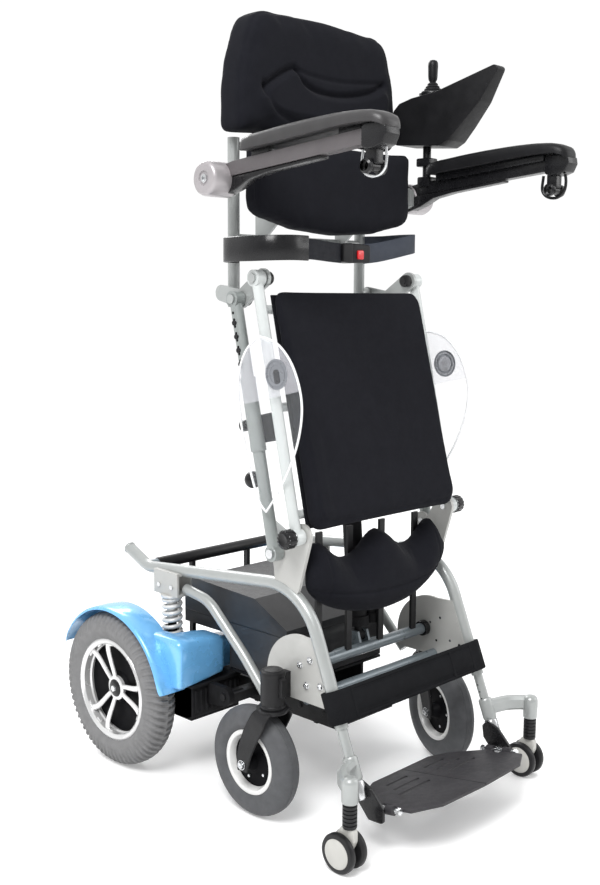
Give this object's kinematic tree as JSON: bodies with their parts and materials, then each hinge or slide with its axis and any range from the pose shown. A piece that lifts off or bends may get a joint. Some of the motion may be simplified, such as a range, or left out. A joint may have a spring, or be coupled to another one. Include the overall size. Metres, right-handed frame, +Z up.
{
  "type": "sit to stand lift",
  "caption": "Power standing wheelchair shown raised: seat and back lifted on a parallel linkage, joystick armrest, sprung drive wheels, front casters and sliding footrest.",
  "frame": {"origin": "centre of the footprint at floor level", "axes": "+Z up, -Y is the front the user faces, +X the user's left"},
  "size_m": [0.66, 0.9529, 1.598],
  "materials": {
    "frame_silver": "satin, very light silver",
    "plate_grey": "satin light grey",
    "tube_grey": "satin grey-blue",
    "black_metal": "semi-matte black powder coat",
    "motor_black": "matte black casting",
    "bright_steel": "bright plated",
    "brushed": "brushed",
    "battery_case": "moulded case",
    "cover_black": "fine grained",
    "pad_black": "woven black upholstery",
    "webbing": "ribbed webbing",
    "strap_black": "stitched black strap",
    "fender_blue": "metallic sky blue, clear coated",
    "spring_white": "white powder coat",
    "drive_rubber": "grey block tread",
    "rim_silver": "silver rim, black web",
    "caster_rubber": "grey rubber",
    "caster_white": "white rim",
    "white_tube": "white powder coat",
    "link_green": "satin grey-green",
    "guard_clear": "clear plastic with a white rim",
    "gloss_black": "gloss black",
    "arm_mauve": "brushed mauve grey",
    "arm_pad": "smooth dark grey skin",
    "button_red": "red",
    "pod_black": "fine grained black",
    "boot_rubber": "soft black",
    "plate_purple": "dark purple grey",
    "tip_beige": "black, light hub faces"
  },
  "bodies": {
    "frame": {"main_tube_right": "frame_silver", "main_tube_left": "frame_silver", "diagonal_tubes": "frame_silver", "frame_plates": "plate_grey", "cross_tubes": "tube_grey", "caster_housings": "black_metal", "chassis_tray": "black_metal", "batteries": "battery_case", "battery_cover": "cover_black", "knee_pad": "pad_black", "knee_pad_brackets": "black_metal", "calf_strap": "strap_black", "frame_fasteners": "bright_steel", "actuator_mount": "tube_grey", "coil_spring_right": "spring_white", "coil_spring_left": "spring_white"},
    "seat": {"seat_frame": "white_tube", "seat_pan": "brushed", "seat_cushion": "pad_black", "side_guards": "guard_clear"},
    "link": {"rear_links": "link_green", "link_knobs": "gloss_black"},
    "back": {"back_frame": "frame_silver", "back_cushion": "pad_black", "lower_back_pad": "pad_black", "lap_belt": "webbing", "belt_buckle": "gloss_black"},
    "buckle_release": {"buckle_button": "button_red"},
    "arm_right": {"armrest_right": "arm_mauve", "armrest_pad_right": "arm_pad"},
    "arm_left": {"armrest_left": "arm_mauve", "armrest_pad_left": "arm_pad", "joystick_pod": "pod_black"},
    "joystick_base": {"joystick_boot": "boot_rubber"},
    "joystick_top": {"joystick_stick": "pod_black"},
    "footrest": {"footrest_frame": "frame_silver"},
    "actuator": {"lift_actuator_body": "motor_black"},
    "actuator_rod": {"lift_actuator_rod": "bright_steel"},
    "drive_unit_right": {"gearmotor_right": "motor_black", "fender_right": "fender_blue"},
    "freewheel_right": {"freewheel_lever_right": "gloss_black"},
    "drive_wheel_right": {"drive_tyre_right": "drive_rubber", "drive_rim_right": "rim_silver"},
    "caster_swivel_right": {"caster_fork_right": "black_metal"},
    "caster_wheel_right": {"caster_tyre_right": "caster_rubber", "caster_rim_right": "caster_white"},
    "foot_right": {"footplate_right": "plate_purple"},
    "tip_swivel_right": {"anti_tip_swivel_right": "pod_black"},
    "tip_wheel_right": {"anti_tip_wheels_right": "tip_beige"},
    "drive_unit_left": {"gearmotor_left": "motor_black", "fender_left": "fender_blue"},
    "freewheel_left": {"freewheel_lever_left": "gloss_black"},
    "drive_wheel_left": {"drive_tyre_left": "drive_rubber", "drive_rim_left": "rim_silver"},
    "caster_swivel_left": {"caster_fork_left": "black_metal"},
    "caster_wheel_left": {"caster_tyre_left": "caster_rubber", "caster_rim_left": "caster_white"},
    "foot_left": {"footplate_left": "plate_purple"},
    "tip_swivel_left": {"anti_tip_swivel_left": "pod_black"},
    "tip_wheel_left": {"anti_tip_wheels_left": "tip_beige"}
  },
  "joints": [
    {"name": "stand_lift", "type": "hinge", "parent": "frame", "child": "seat", "pos_m": [0, -0.1945, 0.58], "axis": [1, 0, 0], "range_deg": [-78, 0]},
    {"name": "link_swing", "type": "hinge", "parent": "frame", "child": "link", "pos_m": [0, -0.1345, 0.54], "axis": [1, 0, 0], "range_deg": [-78, 0]},
    {"name": "back_hinge", "type": "hinge", "parent": "seat", "child": "back", "pos_m": [0, -0.0845, 1.068], "axis": [1, 0, 0], "range_deg": [0, 78]},
    {"name": "actuator_swing", "type": "hinge", "parent": "frame", "child": "actuator", "pos_m": [0, -0.1445, 0.327], "axis": [1, 0, 0], "range_deg": [-39, 0]},
    {"name": "actuator_stroke", "type": "slide", "parent": "actuator", "child": "actuator_rod", "axis": [0, 0.0898, 0.996], "range_m": [-0.201, 0]},
    {"name": "footrest_slide", "type": "slide", "parent": "frame", "child": "footrest", "axis": [0, 0.372, 0.9282], "range_m": [0, 0.041]},
    {"name": "buckle_press", "type": "slide", "parent": "back", "child": "buckle_release", "axis": [0, 1, 0], "range_m": [0, 0.003], "stiffness_N_per_m": 400},
    {"name": "arm_flip_right", "type": "hinge", "parent": "back", "child": "arm_right", "pos_m": [-0.297, -0.0365, 1.251], "axis": [1, 0, 0], "range_deg": [-95, 0]},
    {"name": "arm_flip_left", "type": "hinge", "parent": "back", "child": "arm_left", "pos_m": [0.297, -0.0365, 1.251], "axis": [1, 0, 0], "range_deg": [-95, 0]},
    {"name": "joystick_fore_aft", "type": "hinge", "parent": "arm_left", "child": "joystick_base", "pos_m": [0.275, -0.0985, 1.468], "axis": [1, 0, 0], "range_deg": [-15, 15], "stiffness_Nm_per_rad": 0.6},
    {"name": "joystick_sideways", "type": "hinge", "parent": "joystick_base", "child": "joystick_top", "pos_m": [0.275, -0.0985, 1.468], "axis": [0, 1, 0], "range_deg": [-15, 15], "stiffness_Nm_per_rad": 0.6},
    {"name": "suspension_right", "type": "hinge", "parent": "frame", "child": "drive_unit_right", "pos_m": [-0.196, 0.0555, 0.19], "axis": [1, 0, 0], "range_deg": [-3, 3], "stiffness_Nm_per_rad": 4000, "springref_deg": -1.26, "deforming": ["coil_spring_right"]},
    {"name": "freewheel_right_turn", "type": "hinge", "parent": "drive_unit_right", "child": "freewheel_right", "pos_m": [-0.1, 0.2995, 0.171], "axis": [1, 0, 0], "range_deg": [-40, 0]},
    {"name": "drive_wheel_right_spin", "type": "hinge", "parent": "drive_unit_right", "child": "drive_wheel_right", "pos_m": [-0.288, 0.3055, 0.171], "axis": [1, 0, 0], "continuous": true},
    {"name": "caster_right_swivel", "type": "hinge", "parent": "frame", "child": "caster_swivel_right", "pos_m": [-0.25, -0.1425, 0.25], "axis": [0, 0, 1], "continuous": true},
    {"name": "caster_right_spin", "type": "hinge", "parent": "caster_swivel_right", "child": "caster_wheel_right", "pos_m": [-0.25, -0.0945, 0.112], "axis": [1, 0, 0], "continuous": true},
    {"name": "footplate_right_flip", "type": "hinge", "parent": "footrest", "child": "foot_right", "pos_m": [-0.191, -0.3765, 0.084], "axis": [0, 0.9848, -0.1736], "range_deg": [-34, 0]},
    {"name": "tip_right_swivel", "type": "hinge", "parent": "footrest", "child": "tip_swivel_right", "pos_m": [-0.292, -0.3855, 0.12], "axis": [0, 0, 1], "continuous": true},
    {"name": "tip_right_spin", "type": "hinge", "parent": "tip_swivel_right", "child": "tip_wheel_right", "pos_m": [-0.292, -0.3735, 0.0375], "axis": [1, 0, 0], "continuous": true},
    {"name": "suspension_left", "type": "hinge", "parent": "frame", "child": "drive_unit_left", "pos_m": [0.196, 0.0555, 0.19], "axis": [1, 0, 0], "range_deg": [-3, 3], "stiffness_Nm_per_rad": 4000, "springref_deg": -1.26, "deforming": ["coil_spring_left"]},
    {"name": "freewheel_left_turn", "type": "hinge", "parent": "drive_unit_left", "child": "freewheel_left", "pos_m": [0.1, 0.2995, 0.171], "axis": [1, 0, 0], "range_deg": [-40, 0]},
    {"name": "drive_wheel_left_spin", "type": "hinge", "parent": "drive_unit_left", "child": "drive_wheel_left", "pos_m": [0.288, 0.3055, 0.171], "axis": [1, 0, 0], "continuous": true},
    {"name": "caster_left_swivel", "type": "hinge", "parent": "frame", "child": "caster_swivel_left", "pos_m": [0.25, -0.1425, 0.25], "axis": [0, 0, 1], "continuous": true},
    {"name": "caster_left_spin", "type": "hinge", "parent": "caster_swivel_left", "child": "caster_wheel_left", "pos_m": [0.23437, -0.18788, 0.112], "axis": [-0.9455, 0.3256, 0], "continuous": true},
    {"name": "footplate_left_flip", "type": "hinge", "parent": "footrest", "child": "foot_left", "pos_m": [0.191, -0.3765, 0.084], "axis": [0, -0.9848, 0.1736], "range_deg": [-34, 0]},
    {"name": "tip_left_swivel", "type": "hinge", "parent": "footrest", "child": "tip_swivel_left", "pos_m": [0.292, -0.3855, 0.12], "axis": [0, 0, 1], "continuous": true},
    {"name": "tip_left_spin", "type": "hinge", "parent": "tip_swivel_left", "child": "tip_wheel_left", "pos_m": [0.292, -0.3735, 0.0375], "axis": [1, 0, 0], "continuous": true}
  ],
  "couplings": [
    {"joint": "link_swing", "follows": "stand_lift", "ratio": 1},
    {"joint": "back_hinge", "follows": "stand_lift", "ratio": -1},
    {"joint": "actuator_swing", "follows": "stand_lift", "ratio": 0.49215},
    {"joint": "actuator_stroke", "follows": "stand_lift", "m_per_rad": 0.14725},
    {"joint": "footrest_slide", "follows": "stand_lift", "m_per_rad": -0.02938}
  ]
}
